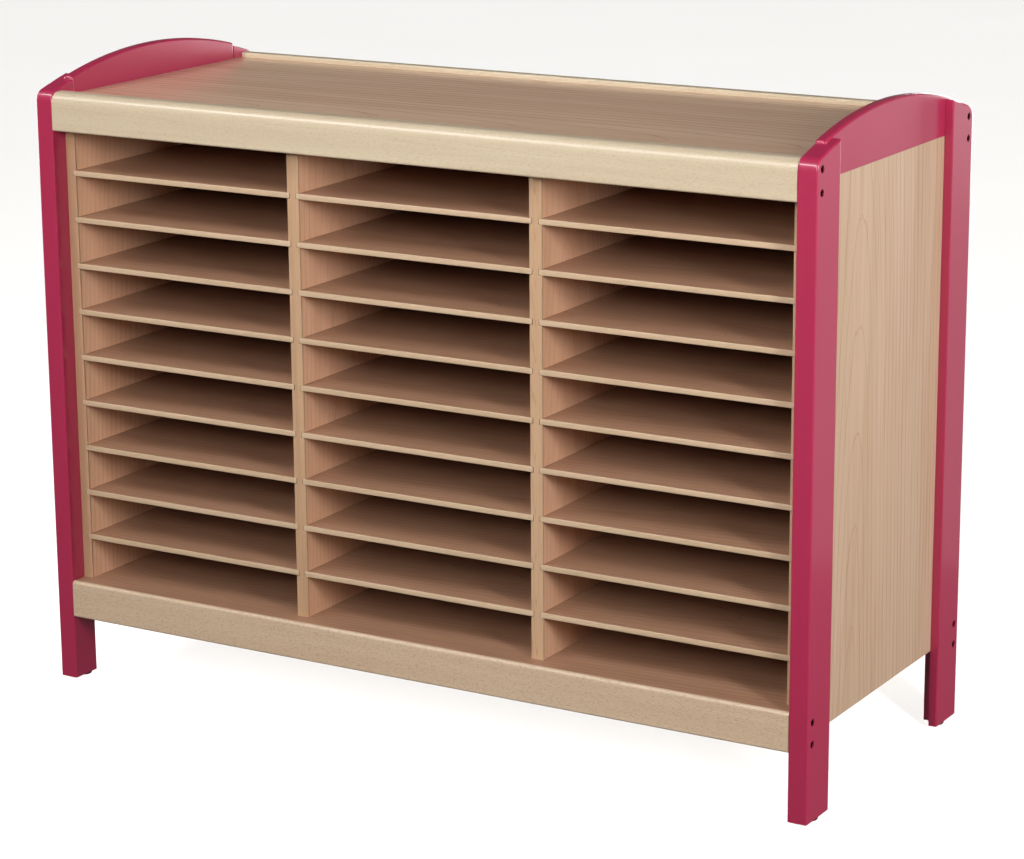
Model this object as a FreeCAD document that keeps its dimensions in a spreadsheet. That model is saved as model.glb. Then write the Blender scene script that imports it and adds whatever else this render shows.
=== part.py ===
import FreeCAD, Part
import math
import os
import Sketcher

# Drawing storage cabinet: three columns of loose shelves in a frame of posts, rails and arched ends.
# Millimetres. +X is to the right, +Y to the back and +Z up. The origin is on the floor, midway
# between the four posts.

COLUMNS = ("left", "middle", "right")
ROWS = 10
SHELVES = ROWS - 1
SCREW_ROWS = 5
NEAR = 1e-4
ACROSS = FreeCAD.Vector(1, 0, 0)
ALONG = FreeCAD.Vector(0, 1, 0)
UP = FreeCAD.Vector(0, 0, 1)

# Driving dimensions
SIZES = {
    # Overall
    "cabinet_width": 1220,
    "cabinet_depth": 495,
    # Posts: the rebate takes the end boards and leaves a lip outside them
    "post_width": 28,
    "post_depth": 68,
    "post_edge_radius": 2.5,
    "post_corner_radius": 17,
    "rebate_depth": 20,
    # Boards between the posts of one end
    "end_board_thickness": 16,
    "end_panel_lift": 16,
    "arch_board_drop": 32,
    "arch_rise": 42,
    "arch_drop": 39.5,
    "arch_step": 4,
    "arch_edge_radius": 4,
    "arch_nose_radius": 5,
    # Rails
    "rail_foot_height": 101,
    "rail_height": 55,
    "rail_thickness": 28,
    "rail_nose_radius": 16,
    "rail_lip": 6,
    "rail_lip_radius": 5,
    "rail_edge_radius": 3,
    # Carcass
    "top_recess": 7,
    "top_thickness": 19,
    "base_thickness": 19,
    "base_tongue_thickness": 6,
    "side_thickness": 16,
    "divider_thickness": 19,
    "edging_thickness": 3,
    "housing_depth": 5,
    "back_thickness": 6,
    "fit_gap": 0.2,
    # Shelves and their grooves
    "row_clear": 59.6,
    "shelf_thickness": 8,
    "shelf_edge_radius": 1,
    "groove_depth": 5,
    "shelf_play": 0.3,
    "shelf_end_gap": 0.8,
    "shelf_rear_gap": 0.5,
    # Bolts, barrel nuts and dowels of the rails
    "bolt_spacing": 30,
    "bolt_diameter": 6,
    "bolt_clearance": 0.3,
    "bolt_sink": 7.5,
    "bolt_reach": 46,
    "bolt_head_diameter": 9.6,
    "bolt_head_height": 6,
    "bolt_key_width": 5,
    "bolt_key_depth": 3,
    "nut_inset": 36,
    "nut_diameter": 10,
    "nut_length": 16,
    "dowel_diameter": 8,
    "dowel_length": 30,
    "dowel_in_post": 12,
    # Back panel screws
    "screw_diameter": 3.5,
    "screw_length": 25,
    "screw_head_diameter": 8,
    "screw_head_height": 2.5,
    "screw_slot_width": 1.2,
    "screw_slot_depth": 1,
    # Glides
    "glide_height": 6,
    "glide_diameter": 22,
    "glide_edge_radius": 3,
    "glide_from_front": 38,
    "glide_from_end": 13,
    "glide_stem_diameter": 8,
    "glide_stem_length": 12,
}

# Places worked out from the driving dimensions, as expressions
POST_OUTER = "(Sizes.cabinet_width / 2)"
POST_INNER = f"({POST_OUTER} - Sizes.post_width)"
LIP_INNER = f"({POST_INNER} + Sizes.end_board_thickness)"
FRONT = "(-Sizes.cabinet_depth / 2)"
POST_BACK = f"({FRONT} + Sizes.post_depth)"
REBATE_FRONT = f"({POST_BACK} - Sizes.rebate_depth)"
CARCASS_FRONT = f"({FRONT} + Sizes.rail_thickness)"
CARCASS_REAR = f"(-{CARCASS_FRONT})"
EDGING_REAR = f"({CARCASS_FRONT} + Sizes.edging_thickness)"
BOARD_END = f"(-{REBATE_FRONT} - Sizes.fit_gap)"
RAIL_MIDDLE = f"({FRONT} + Sizes.rail_thickness / 2)"
RAIL_LIP_REAR = f"({FRONT} + Sizes.rail_lip)"
TONGUE_FRONT = f"({RAIL_LIP_REAR} + Sizes.fit_gap)"

BASE_TOP = "(Sizes.rail_foot_height + Sizes.rail_height)"
BASE_FOOT = f"({BASE_TOP} - Sizes.base_thickness)"
TONGUE_FOOT = f"({BASE_TOP} - Sizes.base_tongue_thickness)"
PITCH = "(Sizes.row_clear + Sizes.shelf_thickness)"
FIRST_SHELF = f"({BASE_TOP} + Sizes.row_clear)"
TOP_RAIL_FOOT = f"({BASE_TOP} + {ROWS} * {PITCH} - Sizes.shelf_thickness)"
TOP_RAIL_TOP = f"({TOP_RAIL_FOOT} + Sizes.rail_height)"
TOP_FACE = f"({TOP_RAIL_TOP} - Sizes.top_recess)"
TOP_FOOT = f"({TOP_FACE} - Sizes.top_thickness)"
UPRIGHT_TOP = f"({TOP_FOOT} + Sizes.housing_depth - Sizes.fit_gap)"
DIVIDER_FOOT = f"({BASE_TOP} - Sizes.housing_depth + Sizes.fit_gap)"
PANEL_FOOT = "(Sizes.rail_foot_height + Sizes.end_panel_lift)"
ARCH_FOOT = f"({TOP_RAIL_TOP} - Sizes.arch_board_drop)"
ARCH_APEX = f"({TOP_RAIL_TOP} + Sizes.arch_rise)"
ARCH_RADIUS = "((Sizes.cabinet_depth ^ 2 / 4 + Sizes.arch_drop ^ 2) / (2 * Sizes.arch_drop))"
POST_ARC_RADIUS = f"({ARCH_RADIUS} - Sizes.arch_step)"
RAIL_FEET = {"bottom": "Sizes.rail_foot_height", "top": TOP_RAIL_FOOT}

SIDE_INNER = f"({POST_INNER} - Sizes.side_thickness)"
COLUMN_CLEAR = f"((2 * {SIDE_INNER} - {len(COLUMNS) - 1} * Sizes.divider_thickness) / {len(COLUMNS)})"
DIVIDER_INNER = f"({COLUMN_CLEAR} / 2)"
DIVIDER_OUTER = f"({DIVIDER_INNER} + Sizes.divider_thickness)"
COLUMN_PITCH = f"({COLUMN_CLEAR} + Sizes.divider_thickness)"
SHELF_WIDTH = f"({COLUMN_CLEAR} + 2 * (Sizes.groove_depth - Sizes.shelf_end_gap))"
GROOVE_FOOT = f"({FIRST_SHELF} - Sizes.shelf_play)"
GROOVE_TOP = f"({FIRST_SHELF} + Sizes.shelf_thickness + Sizes.shelf_play)"

BOLT_BORE = "(Sizes.bolt_diameter + 2 * Sizes.bolt_clearance)"
BOLT_HEAD_BORE = "(Sizes.bolt_head_diameter + 2 * Sizes.bolt_clearance)"
BOLT_LENGTH = "(Sizes.post_width - Sizes.bolt_sink + Sizes.bolt_reach)"
NUT_BORE = "(Sizes.nut_diameter + 2 * Sizes.fit_gap)"
NUT_BORE_DEPTH = "(Sizes.rail_thickness / 2 + Sizes.nut_length / 2 + Sizes.fit_gap)"
DOWEL_BORE = "(Sizes.dowel_diameter + 2 * Sizes.fit_gap)"
DOWEL_IN_RAIL = "(Sizes.dowel_length - Sizes.dowel_in_post)"
SCREW_BORE = "(Sizes.screw_diameter + 2 * Sizes.fit_gap)"
SCREW_BORE_DEPTH = "(Sizes.screw_length - Sizes.back_thickness + Sizes.fit_gap)"
STEM_BORE = "(Sizes.glide_stem_diameter + 2 * Sizes.fit_gap)"
GLIDE_X = f"({POST_OUTER} - Sizes.glide_from_end)"
GLIDE_Y = f"({FRONT} + Sizes.glide_from_front)"

doc = FreeCAD.newDocument("drawing_storage_cabinet")
sheet = doc.addObject("Spreadsheet::Sheet", "Sizes")
for line, (name, size) in enumerate(SIZES.items(), 1):
    sheet.set(f"A{line}", name)
    sheet.set(f"B{line}", str(size))
    sheet.setAlias(f"B{line}", name)
doc.recompute()

# Nodes in the order in which they are made: label and document object
nodes = {}


def value(expression):
    """Number that an expression over the sheet stands for."""
    return float(sheet.evalExpression(expression))


def keep(label, thing):
    """Give a finished piece its label and list it for writing."""
    thing.Label = label
    nodes[label] = thing
    return thing


def new_body(name):
    """Empty body."""
    return doc.addObject("PartDesign::Body", name)


def origin_feature(body, role):
    """Plane or axis of a body's own origin."""
    return next(feature for feature in body.Origin.OriginFeatures if feature.Role == role)


def new_sketch(body, name, role, offset=None):
    """Sketch on a body's origin plane, moved along the plane's normal by an expression."""
    sketch = body.newObject("Sketcher::SketchObject", name)
    sketch.AttachmentSupport = (origin_feature(body, role), [""])
    sketch.MapMode = "FlatFace"
    if offset is not None:
        sketch.setExpression("AttachmentOffset.Base.z", offset)
    return sketch


def tie(sketch, constraint, expression):
    """Add a dimension to a sketch and bind it to an expression."""
    number = sketch.addConstraint(constraint)
    sketch.setExpression(f"Constraints[{number}]", expression)


def place_point(sketch, geometry, point, across, up):
    """Dimension one point of a sketch from the sketch's origin."""
    tie(sketch, Sketcher.Constraint("DistanceX", -1, 1, geometry, point, value(across)), across)
    tie(sketch, Sketcher.Constraint("DistanceY", -1, 1, geometry, point, value(up)), up)


def arc_over(right, left, radius):
    """Arc that bulges upwards from its right end to its left end."""
    half = (right - left).Length / 2
    middle = (right + left) / 2
    slope = (right - left).normalize()
    centre = middle + FreeCAD.Vector(slope.y, -slope.x, 0) * math.sqrt(radius ** 2 - half ** 2)
    whole = Part.Circle(centre, UP, radius)
    return Part.ArcOfCircle(whole, whole.parameter(right), whole.parameter(left))


def outline(sketch, corners, arc_radius=None):
    """Closed outline through corners, counter-clockwise; with a radius, its third side is an arc."""
    first = sketch.GeometryCount
    points = [FreeCAD.Vector(value(across), value(up), 0) for across, up in corners]
    count = len(points)
    for number, start in enumerate(points):
        end = points[(number + 1) % count]
        if arc_radius is not None and number == 2:
            sketch.addGeometry(arc_over(start, end, value(arc_radius)))
        else:
            sketch.addGeometry(Part.LineSegment(start, end))
    for number in range(count):
        after = first + (number + 1) % count
        sketch.addConstraint(Sketcher.Constraint("Coincident", first + number, 2, after, 1))
    for number, (across, up) in enumerate(corners):
        place_point(sketch, first + number, 1, across, up)
    if arc_radius is not None:
        tie(sketch, Sketcher.Constraint("Radius", first + 2, value(arc_radius)), arc_radius)


def rectangle(sketch, across, up):
    """Rectangle between two pairs of expressions."""
    low, high = across
    foot, top = up
    outline(sketch, [(low, foot), (high, foot), (high, top), (low, top)])


def circle(sketch, diameter, across=None, up=None):
    """Circle at the sketch's origin, or at a place given by two expressions."""
    number = sketch.GeometryCount
    centre = FreeCAD.Vector() if across is None else FreeCAD.Vector(value(across), value(up), 0)
    sketch.addGeometry(Part.Circle(centre, UP, value(diameter) / 2))
    tie(sketch, Sketcher.Constraint("Diameter", number, value(diameter)), diameter)
    if across is None:
        sketch.addConstraint(Sketcher.Constraint("Coincident", number, 3, -1, 1))
    else:
        place_point(sketch, number, 3, across, up)


def pad(body, sketch, length, midplane=False, backwards=False):
    """Pad a sketch along its plane's normal, or both ways from the plane."""
    feature = body.newObject("PartDesign::Pad", "Pad")
    feature.Profile = sketch
    feature.setExpression("Length", length)
    feature.SideType = "Symmetric" if midplane else "One side"
    feature.Reversed = backwards
    doc.recompute()
    return feature


def pocket(body, sketch, depth=None, along_normal=False):
    """Cut a sketch into a body against its plane's normal, or along it; with no depth, right through."""
    before = body.Shape.Volume
    feature = body.newObject("PartDesign::Pocket", "Pocket")
    feature.Profile = sketch
    feature.Reversed = along_normal
    if depth is None:
        feature.Type = "ThroughAll"
    else:
        feature.setExpression("Length", depth)
    doc.recompute()
    if feature.Shape.Volume > before - NEAR:
        raise RuntimeError(f"{body.Name}: {sketch.Label} cuts nothing")
    return feature


def fillet(body, radius, lies):
    """Round the edges of a body whose bounding box passes a test."""
    base = body.Tip
    names = [f"Edge{n}" for n, edge in enumerate(base.Shape.Edges, 1) if lies(edge.BoundBox)]
    if not names:
        raise RuntimeError(f"{body.Name}: no edge to round")
    feature = body.newObject("PartDesign::Fillet", "Fillet")
    feature.Base = (base, names)
    feature.setExpression("Radius", radius)
    doc.recompute()
    return feature


def near(first, second):
    """Whether two lengths agree."""
    return abs(first - second) < NEAR


def repeat_upwards(body, original, spacing, count):
    """Repeat a cut up a body at an even spacing."""
    feature = body.newObject("PartDesign::LinearPattern", "Repeat")
    feature.Originals = [original]
    feature.Direction = (origin_feature(body, "Z_Axis"), [""])
    feature.Mode = "Spacing"
    feature.setExpression("Offset", spacing)
    feature.Occurrences = count
    body.Tip = feature
    doc.recompute()
    return feature


def board(name, across, along, up):
    """Plain rectangular board between three pairs of expressions."""
    body = new_body(name)
    sketch = new_sketch(body, "Plan", "XY_Plane", up[0])
    rectangle(sketch, across, along)
    pad(body, sketch, f"{up[1]} - {up[0]}")
    return body


def mirror(label, source, normal):
    """Mirror image of a piece in a plane through the origin."""
    feature = doc.addObject("Part::Mirroring", label)
    feature.Source = source
    feature.Normal = normal
    doc.recompute()
    return keep(label, feature)


def group(label, piece, places):
    """One node of several separate copies of a piece.

    Each place has three expressions and a turn about the upright axis in degrees.
    """
    links = []
    for number, (across, along, up, turn) in enumerate(places, 1):
        link = doc.addObject("App::Link", f"{label}_{number}")
        link.LinkedObject = piece
        link.Placement = FreeCAD.Placement(FreeCAD.Vector(), FreeCAD.Rotation(turn, 0, 0))
        link.setExpression("Placement.Base.x", across)
        link.setExpression("Placement.Base.y", along)
        link.setExpression("Placement.Base.z", up)
        links.append(link)
    feature = doc.addObject("Part::Compound", label)
    feature.Links = links
    doc.recompute()
    return keep(label, feature)


def bolt_heights(foot):
    """Heights of the two bolts in a rail whose underside is given."""
    middle = f"{foot} + Sizes.rail_height / 2"
    return f"({middle} - Sizes.bolt_spacing / 2)", f"({middle} + Sizes.bolt_spacing / 2)"


def screw_height(row):
    """Height of a back panel screw: the middle of every second compartment row."""
    return f"({BASE_TOP} + Sizes.row_clear / 2 + {2 * row} * {PITCH})"


def arc_height(distance, radius):
    """Height of an arc about the arch's centre at a distance from the middle of the depth."""
    return f"({ARCH_APEX} - {ARCH_RADIUS} + sqrt({radius} ^ 2 - {distance} ^ 2))"


def make_posts():
    """Four rebated posts with sloping tops, bored for bolts, dowels and glides."""
    body = new_body("post")
    side = new_sketch(body, "Side", "YZ_Plane", POST_INNER)
    top_back = arc_height(POST_BACK, POST_ARC_RADIUS)
    top_front = arc_height(FRONT, POST_ARC_RADIUS)
    foot = "Sizes.glide_height"
    corners = [(FRONT, foot), (POST_BACK, foot), (POST_BACK, top_back), (FRONT, top_front)]
    outline(side, corners, POST_ARC_RADIUS)
    pad(body, side, "Sizes.post_width")

    front = value(FRONT)
    corner = value(top_front)
    fillet(body, "Sizes.post_corner_radius", lambda box: near(box.YMax, front) and near(box.ZMin, corner))

    plan = new_sketch(body, "Rebate", "XY_Plane", foot)
    rectangle(plan, (POST_INNER, LIP_INNER), (REBATE_FRONT, POST_BACK))
    pocket(body, plan, along_normal=True)

    outer = value(POST_OUTER)
    inner = value(POST_INNER)
    floor = value(foot)
    rebate = value(REBATE_FRONT)

    def long_edge(box):
        outside = near(box.XMin, outer) and near(box.XMax, outer)
        inside = near(box.XMin, inner) and near(box.XMax, inner) and box.YMin < rebate - NEAR
        return (outside or inside) and box.ZMax > floor + NEAR

    fillet(body, "Sizes.post_edge_radius", long_edge)

    heights = [height for rail in RAIL_FEET.values() for height in bolt_heights(rail)]
    bores = new_sketch(body, "Bolt_bores", "YZ_Plane", POST_OUTER)
    sinks = new_sketch(body, "Head_bores", "YZ_Plane", POST_OUTER)
    for height in heights:
        circle(bores, BOLT_BORE, RAIL_MIDDLE, height)
        circle(sinks, BOLT_HEAD_BORE, RAIL_MIDDLE, height)
    pocket(body, bores, "Sizes.post_width")
    pocket(body, sinks, "Sizes.bolt_sink")

    dowels = new_sketch(body, "Dowel_bores", "YZ_Plane", POST_INNER)
    for rail in RAIL_FEET.values():
        circle(dowels, DOWEL_BORE, RAIL_MIDDLE, f"{rail} + Sizes.rail_height / 2")
    pocket(body, dowels, "Sizes.dowel_in_post + Sizes.fit_gap", along_normal=True)

    stem = new_sketch(body, "Stem_bore", "XY_Plane", foot)
    circle(stem, STEM_BORE, GLIDE_X, GLIDE_Y)
    pocket(body, stem, "Sizes.glide_stem_length + Sizes.fit_gap", along_normal=True)

    front_right = keep("post_front_right", body)
    front_left = mirror("post_front_left", front_right, ACROSS)
    mirror("post_rear_right", front_right, ALONG)
    mirror("post_rear_left", front_left, ALONG)


def make_end_boards():
    """An arched board and an end panel in the rebates of each pair of posts."""
    across = (POST_INNER, f"({LIP_INNER} - Sizes.fit_gap)")
    along = (f"(-{BOARD_END})", BOARD_END)

    arch = new_body("arch")
    side = new_sketch(arch, "Side", "YZ_Plane", across[0])
    shoulder = arc_height(BOARD_END, ARCH_RADIUS)
    corners = [(along[0], ARCH_FOOT), (along[1], ARCH_FOOT), (along[1], shoulder), (along[0], shoulder)]
    outline(side, corners, ARCH_RADIUS)
    pad(arch, side, f"{across[1]} - {across[0]}")

    end = value(BOARD_END)
    nose = value(shoulder)
    fillet(arch, "Sizes.arch_nose_radius", lambda box: near(box.ZMin, nose) and near(box.ZMax, nose))

    foot = value(ARCH_FOOT)
    flat = value(f"{shoulder} - Sizes.arch_nose_radius")

    def crown_edge(box):
        upright = near(box.YMin, box.YMax) and near(abs(box.YMin), end)
        level = near(box.ZMin, foot) and near(box.ZMax, foot)
        one_face = near(box.XMin, box.XMax)
        return one_face and not upright and not level and box.ZMax > flat

    fillet(arch, "Sizes.arch_edge_radius", crown_edge)
    right = keep("arch_board_right", arch)
    mirror("arch_board_left", right, ACROSS)

    panel = board("end_panel", across, along, (PANEL_FOOT, f"({ARCH_FOOT} - Sizes.fit_gap)"))
    right = keep("end_panel_right", panel)
    mirror("end_panel_left", right, ACROSS)


def make_rail(place, nose_radius, seats_base=False):
    """A front rail, bored at both ends, and its mirror image at the rear.

    seats_base cuts a rebate behind the rail's lip, in which the base panel lies.
    """
    foot = RAIL_FEET[place]
    top = f"({foot} + Sizes.rail_height)"
    body = new_body(f"rail_{place}")
    section = new_sketch(body, "Section", "YZ_Plane")
    rectangle(section, (FRONT, CARCASS_FRONT), (foot, top))
    pad(body, section, f"2 * {POST_INNER}", midplane=True)

    front = value(FRONT)
    crest = value(top)
    fillet(body, nose_radius, lambda box: near(box.YMax, front) and near(box.ZMin, crest))
    half = value(POST_INNER)
    back = value(CARCASS_FRONT)
    underside = value(foot)

    def other_long_edge(box):
        rear = near(box.YMin, back)
        below = near(box.YMax, front) and near(box.ZMax, underside)
        return (rear or below) and near(box.XMin, -half) and near(box.XMax, half)

    fillet(body, "Sizes.rail_edge_radius", other_long_edge)
    if seats_base:
        rebate = new_sketch(body, "Base_rebate", "YZ_Plane", POST_INNER)
        rectangle(rebate, (RAIL_LIP_REAR, CARCASS_FRONT), (TONGUE_FOOT, BASE_TOP))
        pocket(body, rebate)

    bores = new_sketch(body, "Bolt_bores", "YZ_Plane", POST_INNER)
    nuts = new_sketch(body, "Nut_bores", "XZ_Plane", f"-{CARCASS_FRONT}")
    for height in bolt_heights(foot):
        circle(bores, BOLT_BORE, RAIL_MIDDLE, height)
        circle(nuts, NUT_BORE, f"{POST_INNER} - Sizes.nut_inset", height)
    dowels = new_sketch(body, "Dowel_bores", "YZ_Plane", POST_INNER)
    circle(dowels, DOWEL_BORE, RAIL_MIDDLE, f"{foot} + Sizes.rail_height / 2")
    cuts = [
        pocket(body, bores, "Sizes.bolt_reach + Sizes.fit_gap"),
        pocket(body, nuts, NUT_BORE_DEPTH, along_normal=True),
        pocket(body, dowels, f"{DOWEL_IN_RAIL} + Sizes.fit_gap"),
    ]
    both_ends = body.newObject("PartDesign::Mirrored", "Both_ends")
    both_ends.Originals = cuts
    both_ends.MirrorPlane = (origin_feature(body, "YZ_Plane"), [""])
    body.Tip = both_ends
    doc.recompute()

    rail = keep(f"rail_{place}_front", body)
    mirror(f"rail_{place}_rear", rail, ALONG)


def upright(name, across, along, up, groove_sides, housing=None):
    """Upright board with a ladder of shelf grooves on one or both faces.

    housing gives the bounds, across and up, of a seat for the base panel's end.
    """
    body = board(name, across, along, up)
    ladder = new_sketch(body, "Groove", "XZ_Plane", f"-{along[0]}")
    for side in groove_sides:
        rectangle(ladder, side, (GROOVE_FOOT, GROOVE_TOP))
    groove = pocket(body, ladder)
    repeat_upwards(body, groove, PITCH, SHELVES)
    if housing is not None:
        seat = new_sketch(body, "Base_seat", "XZ_Plane", f"-{along[0]}")
        rectangle(seat, *housing)
        pocket(body, seat)
    return body


def bore_for_screws(body, across):
    """Screw holes up the rear edge of an upright board."""
    holes = new_sketch(body, "Screw_bores", "XZ_Plane", f"-{CARCASS_REAR}")
    for row in range(SCREW_ROWS):
        circle(holes, SCREW_BORE, across, screw_height(row))
    pocket(body, holes, SCREW_BORE_DEPTH, along_normal=True)


def make_uprights():
    """Side panels and dividers, each with an edging on its front."""
    body_depth = (EDGING_REAR, CARCASS_REAR)
    edging_depth = (CARCASS_FRONT, EDGING_REAR)

    side_width = (SIDE_INNER, POST_INNER)
    side_height = (PANEL_FOOT, UPRIGHT_TOP)
    side_groove = [(SIDE_INNER, f"({SIDE_INNER} + Sizes.groove_depth)")]
    seat = ((SIDE_INNER, f"({SIDE_INNER} + Sizes.housing_depth)"), (BASE_FOOT, BASE_TOP))
    panel = upright("side_panel", side_width, body_depth, side_height, side_groove, seat)
    bore_for_screws(panel, f"({SIDE_INNER} + {POST_INNER}) / 2")
    edging = upright("side_edging", side_width, edging_depth, side_height, side_groove, seat)

    divider_width = (DIVIDER_INNER, DIVIDER_OUTER)
    divider_height = (DIVIDER_FOOT, UPRIGHT_TOP)
    divider_grooves = [
        (DIVIDER_INNER, f"({DIVIDER_INNER} + Sizes.groove_depth)"),
        (f"({DIVIDER_OUTER} - Sizes.groove_depth)", DIVIDER_OUTER),
    ]
    divider = upright("divider", divider_width, body_depth, divider_height, divider_grooves)
    bore_for_screws(divider, f"({DIVIDER_INNER} + {DIVIDER_OUTER}) / 2")
    divider_edging = upright("divider_edging", divider_width, edging_depth, divider_height, divider_grooves)

    for body in (panel, edging, divider, divider_edging):
        name = body.Name
        right = keep(f"{name}_right", body)
        mirror(f"{name}_left", right, ACROSS)


def make_level_panels():
    """Top panel on the uprights and base panel between the side panels, with housings.

    The base panel has a tongue along its front and its rear, which lies on the bottom rail.
    """
    along = (CARCASS_FRONT, CARCASS_REAR)
    front = f"-{CARCASS_FRONT}"
    divider_seats = [
        (f"({DIVIDER_INNER} - Sizes.fit_gap)", f"({DIVIDER_OUTER} + Sizes.fit_gap)"),
        (f"(-{DIVIDER_OUTER} - Sizes.fit_gap)", f"(-{DIVIDER_INNER} + Sizes.fit_gap)"),
    ]
    side_seats = [
        (f"({SIDE_INNER} - Sizes.fit_gap)", POST_INNER),
        (f"(-{POST_INNER})", f"(-{SIDE_INNER} + Sizes.fit_gap)"),
    ]

    top = board("top_panel", (f"(-{POST_INNER})", POST_INNER), along, (TOP_FOOT, TOP_FACE))
    housings = new_sketch(top, "Housings", "XZ_Plane", front)
    for seat in side_seats + divider_seats:
        rectangle(housings, seat, (TOP_FOOT, f"({TOP_FOOT} + Sizes.housing_depth)"))
    pocket(top, housings)
    keep("top_panel", top)

    end = f"({SIDE_INNER} + Sizes.housing_depth - Sizes.fit_gap)"
    base = board("base_panel", (f"(-{end})", end), along, (BASE_FOOT, BASE_TOP))
    housings = new_sketch(base, "Housings", "XZ_Plane", front)
    for seat in divider_seats:
        rectangle(housings, seat, (f"({BASE_TOP} - Sizes.housing_depth)", BASE_TOP))
    pocket(base, housings)
    tongues = new_sketch(base, "Tongues", "XY_Plane", BASE_TOP)
    tongue_end = f"({POST_INNER} - Sizes.fit_gap)"
    for reach in ((TONGUE_FRONT, CARCASS_FRONT), (CARCASS_REAR, f"(-{TONGUE_FRONT})")):
        rectangle(tongues, (f"(-{tongue_end})", tongue_end), reach)
    pad(base, tongues, "Sizes.base_tongue_thickness", backwards=True)
    keep("base_panel", base)


def screw_columns():
    """Places across the cabinet where the back panel is screwed to an upright."""
    side = f"(({SIDE_INNER} + {POST_INNER}) / 2)"
    divider = f"(({DIVIDER_INNER} + {DIVIDER_OUTER}) / 2)"
    return f"(-{side})", f"(-{divider})", divider, side


def make_back():
    """Back panel between the rear rails, and its screws."""
    end = f"({POST_INNER} - Sizes.fit_gap)"
    rear = f"({CARCASS_REAR} + Sizes.back_thickness)"
    height = (f"({BASE_TOP} + Sizes.fit_gap)", f"({TOP_RAIL_FOOT} - Sizes.fit_gap)")
    back = board("back_panel", (f"(-{end})", end), (CARCASS_REAR, rear), height)
    holes = new_sketch(back, "Screw_bores", "XZ_Plane", f"-{rear}")
    places = []
    for across in screw_columns():
        for row in range(SCREW_ROWS):
            circle(holes, SCREW_BORE, across, screw_height(row))
            places.append((across, rear, screw_height(row), 0))
    pocket(back, holes, along_normal=True)
    keep("back_panel", back)

    screw = new_body("back_screw")
    head = new_sketch(screw, "Head", "XZ_Plane")
    circle(head, "Sizes.screw_head_diameter")
    pad(screw, head, "Sizes.screw_head_height", backwards=True)
    shank = new_sketch(screw, "Shank", "XZ_Plane")
    circle(shank, "Sizes.screw_diameter")
    pad(screw, shank, "Sizes.screw_length")
    slot = new_sketch(screw, "Slot", "XZ_Plane", "-Sizes.screw_head_height")
    reach = "(Sizes.screw_head_diameter / 2)"
    half_slot = "(Sizes.screw_slot_width / 2)"
    rectangle(slot, (f"(-{reach})", reach), (f"(-{half_slot})", half_slot))
    pocket(screw, slot, "Sizes.screw_slot_depth", along_normal=True)
    group("back_screws", screw, places)


def make_shelves():
    """Loose shelves, numbered upwards in each column."""
    rear = f"({CARCASS_REAR} - Sizes.shelf_rear_gap)"
    for column, name in enumerate(COLUMNS):
        centre = f"({column - 1} * {COLUMN_PITCH})"
        across = (f"({centre} - {SHELF_WIDTH} / 2)", f"({centre} + {SHELF_WIDTH} / 2)")
        for shelf in range(SHELVES):
            foot = f"({FIRST_SHELF} + {shelf} * {PITCH})"
            label = f"shelf_{name}_{shelf + 1}"
            body = board(label, across, (CARCASS_FRONT, rear), (foot, f"({foot} + Sizes.shelf_thickness)"))
            front = value(CARCASS_FRONT)
            low = value(across[0])
            high = value(across[1])
            fillet(
                body,
                "Sizes.shelf_edge_radius",
                lambda box: near(box.YMax, front) and near(box.XMin, low) and near(box.XMax, high),
            )
            keep(label, body)


def make_rail_fasteners():
    """Bolts, barrel nuts and dowels that hold the rails to the posts."""
    bolt = new_body("rail_bolt")
    head = new_sketch(bolt, "Head", "YZ_Plane")
    circle(head, "Sizes.bolt_head_diameter")
    pad(bolt, head, "Sizes.bolt_head_height")
    shank = new_sketch(bolt, "Shank", "YZ_Plane")
    circle(shank, "Sizes.bolt_diameter")
    pad(bolt, shank, BOLT_LENGTH, backwards=True)
    socket = new_sketch(bolt, "Socket", "YZ_Plane", "Sizes.bolt_head_height")
    corner = "(Sizes.bolt_key_width / 2 / cos(30 deg))"
    turns = range(30, 390, 60)
    outline(socket, [(f"({corner} * cos({turn} deg))", f"({corner} * sin({turn} deg))") for turn in turns])
    pocket(bolt, socket, "Sizes.bolt_key_depth")

    nut = new_body("barrel_nut")
    round_section = new_sketch(nut, "Section", "XZ_Plane")
    circle(round_section, "Sizes.nut_diameter")
    pad(nut, round_section, "Sizes.nut_length", midplane=True)
    thread = new_sketch(nut, "Thread", "YZ_Plane", "Sizes.nut_diameter / 2")
    circle(thread, "Sizes.bolt_diameter + Sizes.fit_gap")
    pocket(nut, thread)

    dowel = new_body("rail_dowel")
    round_section = new_sketch(dowel, "Section", "YZ_Plane")
    circle(round_section, "Sizes.dowel_diameter")
    pad(dowel, round_section, "Sizes.dowel_length", backwards=True)

    bolt_places = []
    nut_places = []
    dowel_places = []
    seat = f"({POST_OUTER} - Sizes.bolt_sink)"
    nut_seat = f"({POST_INNER} - Sizes.nut_inset)"
    dowel_seat = f"({POST_INNER} + Sizes.dowel_in_post)"
    for foot in RAIL_FEET.values():
        for along in (RAIL_MIDDLE, f"(-{RAIL_MIDDLE})"):
            for sign, turn in (("", 0), ("-", 180)):
                dowel_places.append((f"{sign}{dowel_seat}", along, f"{foot} + Sizes.rail_height / 2", turn))
                for height in bolt_heights(foot):
                    bolt_places.append((f"{sign}{seat}", along, height, turn))
                    nut_places.append((f"{sign}{nut_seat}", along, height, turn))
    group("rail_bolts", bolt, bolt_places)
    group("barrel_nuts", nut, nut_places)
    group("rail_dowels", dowel, dowel_places)


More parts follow.
